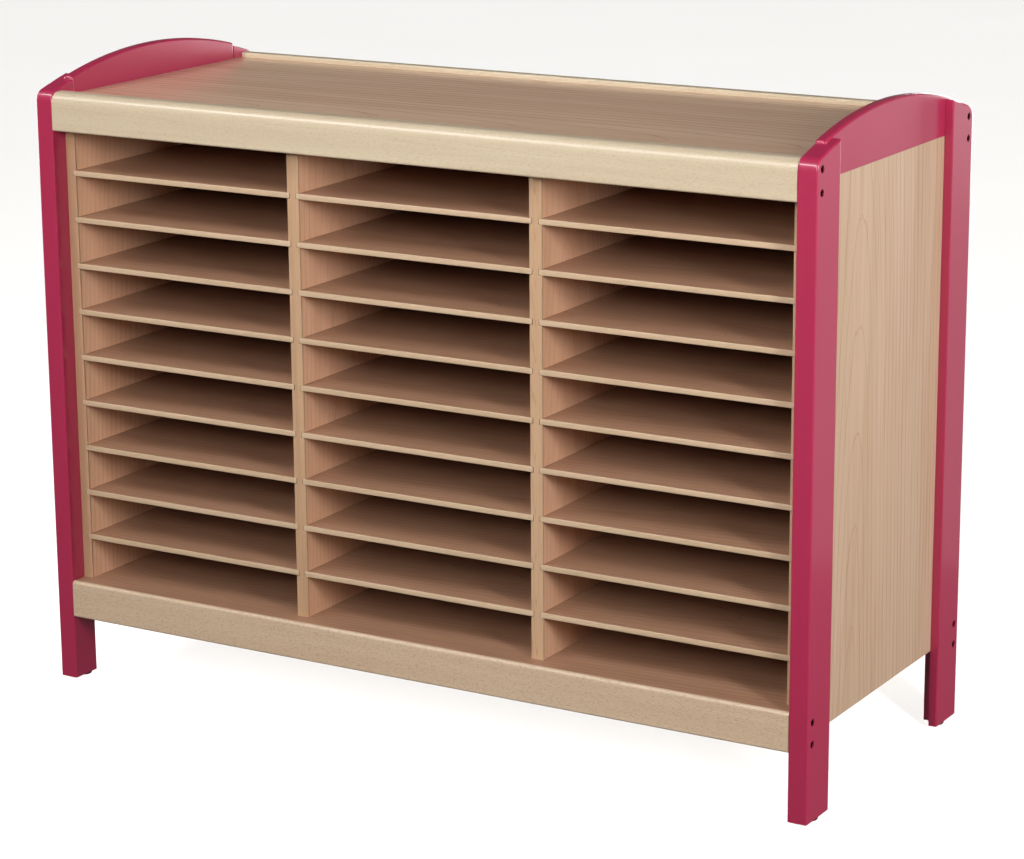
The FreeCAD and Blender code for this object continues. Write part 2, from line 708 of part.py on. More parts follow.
def make_glides():
    """Glides pressed into the feet of the posts."""
    glide = new_body("glide")
    pad_sketch = new_sketch(glide, "Foot", "XY_Plane")
    circle(pad_sketch, "Sizes.glide_diameter")
    pad(glide, pad_sketch, "Sizes.glide_height")
    fillet(glide, "Sizes.glide_edge_radius", lambda box: near(box.ZMax, 0))
    stem = new_sketch(glide, "Stem", "XY_Plane", "Sizes.glide_height")
    circle(stem, "Sizes.glide_stem_diameter")
    pad(glide, stem, "Sizes.glide_stem_length")
    ends = (GLIDE_X, f"(-{GLIDE_X})")
    sides = (GLIDE_Y, f"(-{GLIDE_Y})")
    group("glides", glide, [(across, along, "0", 0) for across in ends for along in sides])


def check_and_write():
    """Stop at any failed object or bad shape, then write one file for each node."""
    for thing in doc.Objects:
        if {"Invalid", "Error"} & set(thing.State):
            raise RuntimeError(f"{thing.Label} failed: {thing.State}")
    for label, thing in nodes.items():
        if thing.Shape.isNull() or not thing.Shape.isValid():
            raise RuntimeError(f"{label} has no valid shape")
    os.makedirs("parts", exist_ok=True)
    for label, thing in nodes.items():
        thing.Shape.exportStep(f"parts/{label}.step")


make_posts()
make_end_boards()
make_rail("bottom", "Sizes.rail_lip_radius", seats_base=True)
make_rail("top", "Sizes.rail_nose_radius")
make_uprights()
make_level_panels()
make_back()
make_shelves()
make_rail_fasteners()
make_glides()
doc.recompute()
check_and_write()
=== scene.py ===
"""Looks of a drawing storage cabinet: finishes, edging strips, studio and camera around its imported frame."""

import logging
import math
from collections.abc import Callable, Iterable, Mapping
from dataclasses import dataclass, field
from enum import Enum
from typing import Any

import bmesh
import bpy
from mathutils import Matrix, Vector


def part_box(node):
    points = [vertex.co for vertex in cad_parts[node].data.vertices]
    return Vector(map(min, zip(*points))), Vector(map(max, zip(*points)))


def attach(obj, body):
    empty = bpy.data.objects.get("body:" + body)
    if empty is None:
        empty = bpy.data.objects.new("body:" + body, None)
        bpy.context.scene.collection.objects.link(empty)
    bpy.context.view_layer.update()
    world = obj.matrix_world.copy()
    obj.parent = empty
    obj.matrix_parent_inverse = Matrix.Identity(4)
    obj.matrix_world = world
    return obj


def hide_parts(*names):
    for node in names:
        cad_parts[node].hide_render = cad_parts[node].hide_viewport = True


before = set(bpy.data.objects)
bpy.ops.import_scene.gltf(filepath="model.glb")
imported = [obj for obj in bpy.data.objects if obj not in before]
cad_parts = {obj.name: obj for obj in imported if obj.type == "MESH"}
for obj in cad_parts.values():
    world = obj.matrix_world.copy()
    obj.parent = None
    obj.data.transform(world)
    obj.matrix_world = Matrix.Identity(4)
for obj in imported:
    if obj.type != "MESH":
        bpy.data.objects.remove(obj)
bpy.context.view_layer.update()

LOG = logging.getLogger("drawing_cabinet")
MM = 0.001
COLUMNS = ("left", "middle", "right")
SIDES = ("left", "right")
SHELVES_PER_COLUMN = 9
CABINET = "cabinet"

# Sockets of the mix node when it mixes colours
MIX_SHARE = 0
MIX_FIRST = 6
MIX_SECOND = 7
MIX_RESULT = 2

TOP_COAT_IOR = 1.5
NOISE_MEAN = 0.5
QUARTER_DEG = 90.0
ROUND_PROFILE = 0.5

# Tolerances on a node's mesh: points that are one, faces that are flat, points that lie on a face
WELD = 0.001 * MM
FLAT_DEG = 1.0
TOUCH = 0.05 * MM


def linear(hex_colour: str) -> tuple[float, float, float, float]:
    """Turns an sRGB hex colour into the linear RGBA that the shaders take.

    Args:
        hex_colour: Six hex digits, with or without a leading hash.

    Returns:
        Linear red, green and blue, with an alpha of one.
    """
    digits = hex_colour.lstrip("#")
    channels = [int(digits[i:i + 2], 16) / 255 for i in (0, 2, 4)]
    red, green, blue = (c / 12.92 if c <= 0.04045 else ((c + 0.055) / 1.055) ** 2.4 for c in channels)
    return red, green, blue, 1.0


def add_node(
    tree: bpy.types.NodeTree,
    kind: str,
    settings: Mapping[str, Any] | None = None,
    inputs: Mapping[str | int, Any] | None = None,
) -> bpy.types.Node:
    """Adds one node, sets its options, and fills or links its inputs.

    Args:
        tree: The material's or world's node tree.
        kind: Blender's identifier of the node.
        settings: Options of the node, by attribute name.
        inputs: Values or output sockets, by input name or index.

    Returns:
        The new node.
    """
    node = tree.nodes.new(kind)
    for key, value in (settings or {}).items():
        setattr(node, key, value)
    for key, value in (inputs or {}).items():
        if isinstance(value, bpy.types.NodeSocket):
            tree.links.new(value, node.inputs[key])
        else:
            node.inputs[key].default_value = value
    return node


class Grain(Enum):
    """Which axis of the cabinet a board's grain follows, then the one across it and the one through it."""

    LENGTHWISE = ("X", "Y", "Z")
    UPRIGHT = ("Z", "Y", "X")


@dataclass(frozen=True)
class Finish:
    """A surface finish that makes one material.

    Attributes:
        name: The material's name, which says what it is and how its surface was made.
    """

    name: str

    def material(self) -> bpy.types.Material:
        """Makes the material and lets the finish draw its nodes.

        Returns:
            The new material, with its surface linked.
        """
        made = bpy.data.materials.new(self.name)
        made.use_nodes = True
        tree = made.node_tree
        tree.nodes.clear()
        shader = self.shade(tree)
        add_node(tree, "ShaderNodeOutputMaterial", inputs={"Surface": shader.outputs["BSDF"]})
        return made

    def shade(self, tree: bpy.types.NodeTree) -> bpy.types.Node:
        """Draws the surface.

        Args:
            tree: The material's empty node tree.

        Returns:
            The shader node that the material shows.
        """
        raise NotImplementedError(self.name)

    @staticmethod
    def spots(
        tree: bpy.types.NodeTree,
        size_mm: tuple[float, float, float],
        vector: bpy.types.NodeSocket,
        detail: float = 2.0,
    ) -> bpy.types.NodeSocket:
        """Draws soft noise whose spots have a real size.

        Args:
            tree: The material's node tree.
            size_mm: Length of a spot along each axis of the vector.
            vector: Coordinates in metres.
            detail: Octaves of finer noise.

        Returns:
            A value from zero to one, about a half on average.
        """
        scaled = add_node(tree, "ShaderNodeVectorMath", {"operation": "DIVIDE"},
                          {0: vector, 1: tuple(s * MM for s in size_mm)})
        noise = add_node(tree, "ShaderNodeTexNoise", {"noise_dimensions": "3D"},
                         {"Vector": scaled.outputs[0], "Scale": 1.0, "Detail": detail, "Roughness": 0.5})
        return noise.outputs["Fac"]


@dataclass(frozen=True)
class SprayedLacquer(Finish):
    """Opaque satin lacquer sprayed on wood: an even deep colour, a soft sheen and a faint orange peel.

    Attributes:
        colour: The lacquer's sRGB colour.
        shade_colour: The slightly deeper colour where the coat lies thicker.
        roughness: Satin, between the gloss of enamel and matt paint.
        gloss_drift: How far the gloss drifts with the colour.
        peel_mm: Size of the orange peel's dimples.
        peel_depth_mm: Their depth.
        peel_strength: How strongly they show.
        cloud_mm: Size of the slow drift in colour from pass to pass of the gun.
        coat: Share of the clear coat on top.
        coat_roughness: Gloss of the clear coat.
    """

    colour: str
    shade_colour: str
    roughness: float = 0.34
    gloss_drift: float = 0.03
    peel_mm: float = 2.2
    peel_depth_mm: float = 0.2
    peel_strength: float = 0.06
    cloud_mm: float = 140.0
    coat: float = 0.5
    coat_roughness: float = 0.1

    def shade(self, tree: bpy.types.NodeTree) -> bpy.types.Node:
        """Draws the lacquer.

        Args:
            tree: The material's empty node tree.

        Returns:
            The lacquer's shader.
        """
        place = add_node(tree, "ShaderNodeTexCoord").outputs["Object"]
        cloud = self.spots(tree, (self.cloud_mm,) * 3, place)
        peel = self.spots(tree, (self.peel_mm,) * 3, place, detail=1.0)
        colour = add_node(tree, "ShaderNodeMix", {"data_type": "RGBA"}, {
            MIX_SHARE: cloud, MIX_FIRST: linear(self.colour), MIX_SECOND: linear(self.shade_colour)})
        gloss = add_node(tree, "ShaderNodeMapRange", None, {
            "Value": cloud,
            "To Min": self.roughness - self.gloss_drift,
            "To Max": self.roughness + self.gloss_drift})
        dimples = add_node(tree, "ShaderNodeBump", None, {
            "Strength": self.peel_strength, "Distance": self.peel_depth_mm * MM, "Height": peel})
        return add_node(tree, "ShaderNodeBsdfPrincipled", None, {
            "Base Color": colour.outputs[MIX_RESULT], "Roughness": gloss.outputs[0], "IOR": TOP_COAT_IOR,
            "Coat Weight": self.coat, "Coat Roughness": self.coat_roughness, "Normal": dimples.outputs[0]})


@dataclass(frozen=True)
class BeechFigure(Finish):
    """The figure of a beech board, as a log cut along its length shows it.

    The yearly rings are shells round the log's heart. A flat board that drifts away from the heart cuts them
    in nested pointed arches in the middle and in long lines at its sides.

    Attributes:
        grain: Which way the board's length runs.
        light: Early wood.
        dark: Broad darker bands.
        line: Late wood, the thin line that closes each ring.
        ring_mm: Distance between the lines that the eye takes in, several years apart.
        heart_mm: Least distance of the board from the log's heart.
        heart_side_mm: How far to the front of the cabinet's middle the heart lies on an average board.
        spread_mm: How far the heart wanders from board to board.
        sway_mm: How far the figure sways along one board.
        ripple: How far the lines waver, as a share of a ring.
        taper: How fast the board drifts away from the heart along its length.
        line_share: Share of a ring that its line takes on a square cut.
        closing_share: Share of a ring between the line's darkest place and the next ring.
        line_strength: How strongly the late wood shows.
        fibre_strength: How strongly the fibre streaks show.
        fibre_limits: Noise at which a fibre streak begins and at which it is full.
        fibre_mm: Length and width of the fibre streaks, drawn coarser than real fibres so that they show.
        band_limits: Noise at which a darker band begins and at which it is full.
        roughness: Gloss of the top coat.
        gloss_drift: How far the gloss drifts with the fibre.
        pore_depth_mm: Depth of the pores between the fibres.
        pore_strength: How strongly they show.
        cut_spots_mm: Spots of the wander from board to board: along, across and through the boards.
        sway_spots_mm: Spots of the sway.
        ripple_spots_mm: Spots of the ripple.
        faint_spots_mm: Spots in which the lines are fainter.
        band_spots_mm: Spots of the darker bands.
    """

    grain: Grain
    light: str
    dark: str
    line: str
    ring_mm: float = 9.0
    heart_mm: float = 70.0
    heart_side_mm: float = 100.0
    spread_mm: float = 500.0
    sway_mm: float = 40.0
    ripple: float = 0.45
    taper: float = 0.08
    line_share: float = 0.32
    closing_share: float = 0.08
    line_strength: float = 0.4
    fibre_strength: float = 0.3
    fibre_limits: tuple[float, float] = (0.48, 0.8)
    fibre_mm: tuple[float, float] = (60.0, 1.6)
    band_limits: tuple[float, float] = (0.3, 0.7)
    roughness: float = 0.42
    gloss_drift: float = 0.05
    pore_depth_mm: float = 0.1
    pore_strength: float = 0.05
    cut_spots_mm: tuple[float, float, float] = (9000.0, 9000.0, 12.0)
    sway_spots_mm: tuple[float, float, float] = (620.0, 260.0, 12.0)
    ripple_spots_mm: tuple[float, float, float] = (150.0, 26.0, 12.0)
    faint_spots_mm: tuple[float, float, float] = (260.0, 40.0, 20.0)
    band_spots_mm: tuple[float, float, float] = (520.0, 34.0, 12.0)

    def board_place(self, tree: bpy.types.NodeTree) -> bpy.types.NodeSocket:
        """Turns the cabinet's axes into the board's own.

        Args:
            tree: The material's node tree.

        Returns:
            Coordinates in metres: along the grain, across it and through the board.
        """
        place = add_node(tree, "ShaderNodeTexCoord").outputs["Object"]
        axes = add_node(tree, "ShaderNodeSeparateXYZ", None, {0: place})
        along, across, through = (axes.outputs[a] for a in self.grain.value)
        return add_node(tree, "ShaderNodeCombineXYZ", None, {0: along, 1: across, 2: through}).outputs[0]

    def log_section(self, tree: bpy.types.NodeTree, board: bpy.types.NodeSocket) -> bpy.types.NodeSocket:
        """Places the board's surface in the round section of its log.

        Args:
            tree: The material's node tree.
            board: The board's own coordinates.

        Returns:
            Distances from the heart in metres: along the board's width and square to its face.
        """
        axes = add_node(tree, "ShaderNodeSeparateXYZ", None, {0: board})
        cut = self.spots(tree, self.cut_spots_mm, board, detail=0.0)
        sway = self.spots(tree, self.sway_spots_mm, board, detail=1.0)
        shifted = add_node(tree, "ShaderNodeMath", {"operation": "MULTIPLY_ADD"},
                           {0: cut, 1: self.spread_mm * MM, 2: axes.outputs[1]})
        swayed = add_node(tree, "ShaderNodeMath", {"operation": "MULTIPLY_ADD"},
                          {0: sway, 1: self.sway_mm * MM, 2: shifted.outputs[0]})
        centre = (self.heart_side_mm - (self.spread_mm + self.sway_mm) * NOISE_MEAN) * MM
        middle = add_node(tree, "ShaderNodeMath", {"operation": "ADD"}, {0: swayed.outputs[0], 1: centre})
        rise = add_node(tree, "ShaderNodeMath", {"operation": "MULTIPLY_ADD"},
                        {0: axes.outputs[0], 1: self.taper, 2: self.heart_mm * MM})
        section = add_node(tree, "ShaderNodeCombineXYZ", None, {0: middle.outputs[0], 1: rise.outputs[0]})
        return section.outputs[0]

    def line_span(
        self,
        tree: bpy.types.NodeTree,
        section: bpy.types.NodeSocket,
        radius: bpy.types.NodeSocket,
    ) -> tuple[bpy.types.NodeSocket, bpy.types.NodeSocket]:
        """Finds which share of each ring its line takes, so that a slanting cut doesn't widen the lines.

        Args:
            tree: The material's node tree.
            section: Distances from the log's heart.
            radius: Their length.

        Returns:
            Where the line starts and where it is darkest, as shares of a ring.
        """
        slope = add_node(tree, "ShaderNodeVectorMath", {"operation": "MULTIPLY"},
                         {0: section, 1: (1.0, self.taper, 1.0)})
        steep = add_node(tree, "ShaderNodeVectorMath", {"operation": "LENGTH"}, {0: slope.outputs[0]})
        crossing = add_node(tree, "ShaderNodeMath", {"operation": "DIVIDE"},
                            {0: steep.outputs["Value"], 1: radius})
        start, peak = (add_node(tree, "ShaderNodeMath", {"operation": "MULTIPLY_ADD"},
                                {0: crossing.outputs[0], 1: -share, 2: 1.0}).outputs[0]
                       for share in (self.line_share, self.closing_share))
        return start, peak

    def rings(self, tree: bpy.types.NodeTree, board: bpy.types.NodeSocket) -> bpy.types.NodeSocket:
        """Draws the late wood lines.

        Args:
            tree: The material's node tree.
            board: The board's own coordinates.

        Returns:
            A value that is about a half on a line, more or less by places, and zero between lines.
        """
        section = self.log_section(tree, board)
        length = add_node(tree, "ShaderNodeVectorMath", {"operation": "LENGTH"}, {0: section})
        radius = length.outputs["Value"]
        start, peak = self.line_span(tree, section, radius)
        waver = self.spots(tree, self.ripple_spots_mm, board, detail=2.0)
        years = add_node(tree, "ShaderNodeMath", {"operation": "DIVIDE"}, {0: radius, 1: self.ring_mm * MM})
        waved = add_node(tree, "ShaderNodeMath", {"operation": "MULTIPLY_ADD"},
                         {0: waver, 1: self.ripple, 2: years.outputs[0]})
        year = add_node(tree, "ShaderNodeMath", {"operation": "FRACT"}, {0: waved.outputs[0]})
        growing, closing = (add_node(tree, "ShaderNodeMapRange", {"interpolation_type": "SMOOTHSTEP"},
                                     {"Value": year.outputs[0], "From Min": edge, "From Max": peak})
                            for edge in (start, 1.0))
        line = add_node(tree, "ShaderNodeMath", {"operation": "MULTIPLY"},
                        {0: growing.outputs[0], 1: closing.outputs[0]})
        faint = self.spots(tree, self.faint_spots_mm, board, detail=1.0)
        return add_node(tree, "ShaderNodeMath", {"operation": "MULTIPLY"},
                        {0: line.outputs[0], 1: faint}).outputs[0]

    def shade(self, tree: bpy.types.NodeTree) -> bpy.types.Node:
        """Draws the board.

        Args:
            tree: The material's empty node tree.

        Returns:
            The board's shader.
        """
        board = self.board_place(tree)
        length, width = self.fibre_mm
        fibre = self.spots(tree, (length, width, width), board, detail=3.0)
        band = self.spots(tree, self.band_spots_mm, board)
        band_start, band_full = self.band_limits
        tone = add_node(tree, "ShaderNodeMapRange", None,
                        {"Value": band, "From Min": band_start, "From Max": band_full})
        ground = add_node(tree, "ShaderNodeMix", {"data_type": "RGBA"}, {
            MIX_SHARE: tone.outputs[0], MIX_FIRST: linear(self.light), MIX_SECOND: linear(self.dark)})
        share = add_node(tree, "ShaderNodeMath", {"operation": "MULTIPLY"},
                         {0: self.rings(tree, board), 1: self.line_strength / NOISE_MEAN})
        ringed = add_node(tree, "ShaderNodeMix", {"data_type": "RGBA"}, {
            MIX_SHARE: share.outputs[0],
            MIX_FIRST: ground.outputs[MIX_RESULT],
            MIX_SECOND: linear(self.line)})
        fibre_start, fibre_full = self.fibre_limits
        streak = add_node(tree, "ShaderNodeMapRange", None, {
            "Value": fibre, "From Min": fibre_start, "From Max": fibre_full, "To Max": self.fibre_strength})
        streaked = add_node(tree, "ShaderNodeMix", {"data_type": "RGBA"}, {
            MIX_SHARE: streak.outputs[0],
            MIX_FIRST: ringed.outputs[MIX_RESULT],
            MIX_SECOND: linear(self.line)})
        gloss = add_node(tree, "ShaderNodeMapRange", None, {
            "Value": fibre,
            "To Min": self.roughness - self.gloss_drift,
            "To Max": self.roughness + self.gloss_drift})
        pores = add_node(tree, "ShaderNodeBump", None, {
            "Strength": self.pore_strength, "Distance": self.pore_depth_mm * MM, "Height": fibre})
        return add_node(tree, "ShaderNodeBsdfPrincipled", None, {
            "Base Color": self.flecked(tree, board, streaked.outputs[MIX_RESULT]),
            "Roughness": gloss.outputs[0], "IOR": TOP_COAT_IOR, "Normal": pores.outputs[0]})

    def flecked(
        self,
        tree: bpy.types.NodeTree,
        board: bpy.types.NodeSocket,
        colour: bpy.types.NodeSocket,
    ) -> bpy.types.NodeSocket:
        """Adds nothing, because a printed board shows no flecks of its own."""
        return colour


@dataclass(frozen=True)
class PlanedBeech(BeechFigure):
    """Solid steamed beech, planed and clear lacquered: pale, with the short dark flecks of its wood rays.

    Attributes:
        fleck: Colour of the flecks.
        fleck_mm: Length and width of a fleck, drawn a little coarser than real so that it shows.
        fleck_limits: Noise at which a fleck begins and at which it is full.
        fleck_strength: How strongly the flecks show.
    """

    fleck: str = "#96704F"
    fleck_mm: tuple[float, float] = (4.6, 1.2)
    fleck_limits: tuple[float, float] = (0.6, 0.7)
    fleck_strength: float = 0.2

    def flecked(
        self,
        tree: bpy.types.NodeTree,
        board: bpy.types.NodeSocket,
        colour: bpy.types.NodeSocket,
    ) -> bpy.types.NodeSocket:
        """Strews the flecks over the board.

        Args:
            tree: The material's node tree.
            board: The board's own coordinates.
            colour: The board's colour so far.

        Returns:
            The colour with flecks.
        """
        length, width = self.fleck_mm
        rays = self.spots(tree, (length, width, width), board, detail=0.0)
        start, full = self.fleck_limits
        share = add_node(tree, "ShaderNodeMapRange", {"interpolation_type": "SMOOTHSTEP"},
                         {"Value": rays, "From Min": start, "From Max": full, "To Max": self.fleck_strength})
        mixed = add_node(tree, "ShaderNodeMix", {"data_type": "RGBA"}, {
            MIX_SHARE: share.outputs[0], MIX_FIRST: colour, MIX_SECOND: linear(self.fleck)})
        return mixed.outputs[MIX_RESULT]


@dataclass(frozen=True)
class PlatedSteel(Finish):
    """Steel with a thin plated or blackened skin: a metal gloss broken by the fine grain of the bath.

    Attributes:
        colour: Colour of the metal's reflection.
        roughness: Gloss of the skin.
        gloss_drift: How far the gloss differs from grain to grain.
        grain_mm: Size of the skin's grain, drawn coarser than real so that it shows.
        grain_depth_mm: Its depth.
        grain_strength: How strongly it shows.
    """

    colour: str
    roughness: float
    gloss_drift: float = 0.1
    grain_mm: float = 0.8
    grain_depth_mm: float = 0.05
    grain_strength: float = 0.08

    def shade(self, tree: bpy.types.NodeTree) -> bpy.types.Node:
        """Draws the metal.

        Args:
            tree: The material's empty node tree.

        Returns:
            The metal's shader.
        """
        place = add_node(tree, "ShaderNodeTexCoord").outputs["Object"]
        speck = self.spots(tree, (self.grain_mm,) * 3, place, detail=3.0)
        gloss = add_node(tree, "ShaderNodeMapRange", None, {
            "Value": speck,
            "To Min": self.roughness - self.gloss_drift,
            "To Max": self.roughness + self.gloss_drift})
        relief = add_node(tree, "ShaderNodeBump", None, {
            "Strength": self.grain_strength, "Distance": self.grain_depth_mm * MM, "Height": speck})
        return add_node(tree, "ShaderNodeBsdfPrincipled", None, {
            "Base Color": linear(self.colour), "Metallic": 1.0, "Roughness": gloss.outputs[0],
            "Normal": relief.outputs[0]})


@dataclass(frozen=True)
class MouldedPlastic(Finish):
    """Injection moulded polyethylene with a spark-eroded mould texture: matt, waxy and slightly uneven.

    Attributes:
        colour: The plastic's sRGB colour.
        scuff_colour: The greyer colour of its rubbed high spots.
        roughness: Matt.
        texture_mm: Grain size of the mould.
        texture_depth_mm: Depth of the mould's grain.
        texture_strength: How strongly it shows.
        ior: Polyethylene's index of refraction.
    """

    colour: str
    scuff_colour: str
    roughness: float = 0.55
    texture_mm: float = 0.7
    texture_depth_mm: float = 0.1
    texture_strength: float = 0.3
    ior: float = 1.51

    def shade(self, tree: bpy.types.NodeTree) -> bpy.types.Node:
        """Draws the plastic.

        Args:
            tree: The material's empty node tree.

        Returns:
            The plastic's shader.
        """
        place = add_node(tree, "ShaderNodeTexCoord").outputs["Object"]
        texture = self.spots(tree, (self.texture_mm,) * 3, place)
        colour = add_node(tree, "ShaderNodeMix", {"data_type": "RGBA"}, {
            MIX_SHARE: texture, MIX_FIRST: linear(self.colour), MIX_SECOND: linear(self.scuff_colour)})
        relief = add_node(tree, "ShaderNodeBump", None, {
            "Strength": self.texture_strength, "Distance": self.texture_depth_mm * MM, "Height": texture})
        return add_node(tree, "ShaderNodeBsdfPrincipled", None, {
            "Base Color": colour.outputs[MIX_RESULT], "Roughness": self.roughness, "IOR": self.ior,
            "Normal": relief.outputs[0]})


@dataclass(frozen=True)
class MattPaint(Finish):
    """Flat wall paint rolled on a studio floor: pale, with no gloss and a barely uneven tone.

    Attributes:
        colour: The paint's sRGB colour.
        worn: The slightly darker tone of its patches.
        patch_mm: Size of the patches.
        roughness: Flat.
        gloss: Strength of its faint reflection.
    """

    colour: str
    worn: str
    patch_mm: float = 900.0
    roughness: float = 0.9
    gloss: float = 0.1

    def shade(self, tree: bpy.types.NodeTree) -> bpy.types.Node:
        """Draws the paint.

        Args:
            tree: The material's empty node tree.

        Returns:
            The paint's shader.
        """
        place = add_node(tree, "ShaderNodeTexCoord").outputs["Object"]
        patch = self.spots(tree, (self.patch_mm,) * 3, place)
        colour = add_node(tree, "ShaderNodeMix", {"data_type": "RGBA"}, {
            MIX_SHARE: patch, MIX_FIRST: linear(self.colour), MIX_SECOND: linear(self.worn)})
        return add_node(tree, "ShaderNodeBsdfPrincipled", None, {
            "Base Color": colour.outputs[MIX_RESULT],
            "Roughness": self.roughness,
            "Specular IOR Level": self.gloss})


@dataclass
class Palette:
    """The cabinet's finishes, each mixed once and shared by the pieces that wear it."""

    lacquer: bpy.types.Material
    end_board: bpy.types.Material
    wall_board: bpy.types.Material
    shelf_board: bpy.types.Material
    top_board: bpy.types.Material
    back_board: bpy.types.Material
    solid_beech: bpy.types.Material
    steamed_beech: bpy.types.Material
    upright_edging: bpy.types.Material
    shelf_edging: bpy.types.Material
    black_steel: bpy.types.Material
    zinc_steel: bpy.types.Material
    black_plastic: bpy.types.Material

    @classmethod
    def mixed(cls) -> "Palette":
        """Mixes every finish.

        Returns:
            The palette that the sub-assemblies are dressed from.
        """
        return cls(
            lacquer=SprayedLacquer("raspberry_lacquer_sprayed", "#AB2A4E", "#A7264A").material(),
            end_board=BeechFigure("beech_print_melamine_upright", Grain.UPRIGHT,
                                  "#C5A88F", "#BC9F83", "#9A6E4C", ring_mm=11.0, heart_mm=12.0,
                                  spread_mm=120.0, line_strength=0.45, fibre_strength=0.4,
                                  fibre_mm=(160.0, 4.0)).material(),
            wall_board=BeechFigure("beech_print_melamine_walls", Grain.UPRIGHT,
                                   "#EFC09E", "#E4B490", "#BF8C65", heart_mm=12.0).material(),
            shelf_board=BeechFigure("beech_print_melamine_shelves", Grain.LENGTHWISE,
                                    "#B58C71", "#AC8368", "#885D41", line_strength=0.55, fibre_strength=0.45,
                                    roughness=0.46).material(),
            top_board=BeechFigure("beech_print_melamine_top", Grain.LENGTHWISE,
                                  "#E4C1A3", "#D9B293", "#B78C6C", ring_mm=17.0, line_strength=0.75,
                                  fibre_strength=0.35, fibre_mm=(220.0, 9.0), roughness=0.22).material(),
            back_board=BeechFigure("beech_print_hardboard", Grain.UPRIGHT,
                                   "#D4BC9F", "#C6AC8D", "#A88B6D", roughness=0.55).material(),
            solid_beech=PlanedBeech("solid_beech_planed_lacquered", Grain.LENGTHWISE,
                                    "#CEBEA4", "#C7B59A", "#B0997D", line_strength=0.15, fibre_strength=0.12,
                                    roughness=0.3).material(),
            steamed_beech=PlanedBeech("solid_beech_steamed_lacquered", Grain.LENGTHWISE,
                                      "#D1B99E", "#CBB093", "#AA896A", line_strength=0.15,
                                      fibre_strength=0.12, roughness=0.34, fleck="#795A3E",
                                      fleck_strength=0.3).material(),
            upright_edging=BeechFigure("beech_edging_strip_upright", Grain.UPRIGHT,
                                       "#C6A382", "#B79272", "#9D7758", ring_mm=5.0,
                                       roughness=0.38).material(),
            shelf_edging=BeechFigure("beech_edging_strip_lengthwise", Grain.LENGTHWISE,
                                     "#CCB295", "#C1A788", "#A78866", ring_mm=5.0, roughness=0.38).material(),
            black_steel=PlatedSteel("steel_black_oxide", "#1B1B1D", 0.42).material(),
            zinc_steel=PlatedSteel("steel_zinc_plated", "#B4B7BA", 0.34).material(),
            black_plastic=MouldedPlastic("polyethylene_moulded_black", "#151515", "#262626").material(),
        )


def dress(node: str, material: bpy.types.Material) -> None:
    """Gives a CAD node its finish.

    Args:
        node: The node's name.
        material: The finish to wear.
    """
    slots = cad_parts[node].data.materials
    slots.clear()
    slots.append(material)
    LOG.info("dressed %s in %s", node, material.name)


def new_piece(
    name: str,
    mesh: bmesh.types.BMesh,
    material: bpy.types.Material,
    smooth_deg: float = 40.0,
) -> bpy.types.Object:
    """Makes a mesh object with soft shading across its roundings.

    Args:
        name: The piece's name.
        mesh: Its shape, which is used up.
        material: Its finish.
        smooth_deg: Edges that turn more than this stay sharp.

    Returns:
        The new object, linked to the scene.
    """
    bmesh.ops.recalc_face_normals(mesh, faces=mesh.faces)
    data = bpy.data.meshes.new(name)
    mesh.to_mesh(data)
    mesh.free()
    data.materials.append(material)
    for face in data.polygons:
        face.use_smooth = True
    data.set_sharp_from_angle(angle=math.radians(smooth_deg))
    piece = bpy.data.objects.new(name, data)
    bpy.context.scene.collection.objects.link(piece)
    LOG.info("built %s", name)
    return piece


def eased_copy(
    node: str,
    name: str,
    radius: float,
    steps: int,
    chosen: Callable[[bmesh.types.BMEdge], bool],
    material: bpy.types.Material,
) -> bpy.types.Object:
    """Copies a node's shape into a new piece and rounds some of its edges.

    Args:
        node: The CAD node that is copied.
        name: The new piece's name.
        radius: Radius of the rounding.
        steps: Flats along the rounding.
        chosen: Tells which edges are rounded.
        material: The piece's finish.

    Returns:
        The new piece.
    """
    mesh = bmesh.new()
    mesh.from_mesh(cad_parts[node].data)
    bmesh.ops.remove_doubles(mesh, verts=mesh.verts, dist=WELD)
    bmesh.ops.dissolve_limit(mesh, angle_limit=math.radians(FLAT_DEG), verts=mesh.verts, edges=mesh.edges)
    edges = [e for e in mesh.edges if chosen(e)]
    bmesh.ops.bevel(mesh, geom=edges, offset=radius, segments=steps, profile=ROUND_PROFILE, affect="EDGES")
    return new_piece(name, mesh, material)


def prism(outline: Iterable[tuple[float, float]], left: float, right: float) -> bmesh.types.BMesh:
    """Extrudes an outline along the cabinet's width.

    Args:
        outline: Depth and height of each corner, in order round the outline.
        left: Where the prism starts.
        right: Where it ends.

    Returns:
        The closed mesh.
    """
    mesh = bmesh.new()
    corners = list(outline)
    ends = [[mesh.verts.new((x, y, z)) for y, z in corners] for x in (left, right)]
    for end in ends:
        mesh.faces.new(end)
    for i in range(len(corners)):
        k = (i + 1) % len(corners)
        mesh.faces.new((ends[0][i], ends[0][k], ends[1][k], ends[1][i]))
    return mesh


@dataclass
class EndFrames:
    """The two ends: four lacquered posts, two arched boards and the printed panels between them.

    Attributes:
        corners: Where the posts stand.
    """

    corners: tuple[str, ...] = ("front_left", "front_right", "rear_left", "rear_right")

    def dress(self, palette: Palette) -> None:
        """Gives the posts, arches and end panels their finishes."""
        for corner in self.corners:
            dress(f"post_{corner}", palette.lacquer)
        for side in SIDES:
            dress(f"arch_board_{side}", palette.lacquer)
            dress(f"end_panel_{side}", palette.end_board)


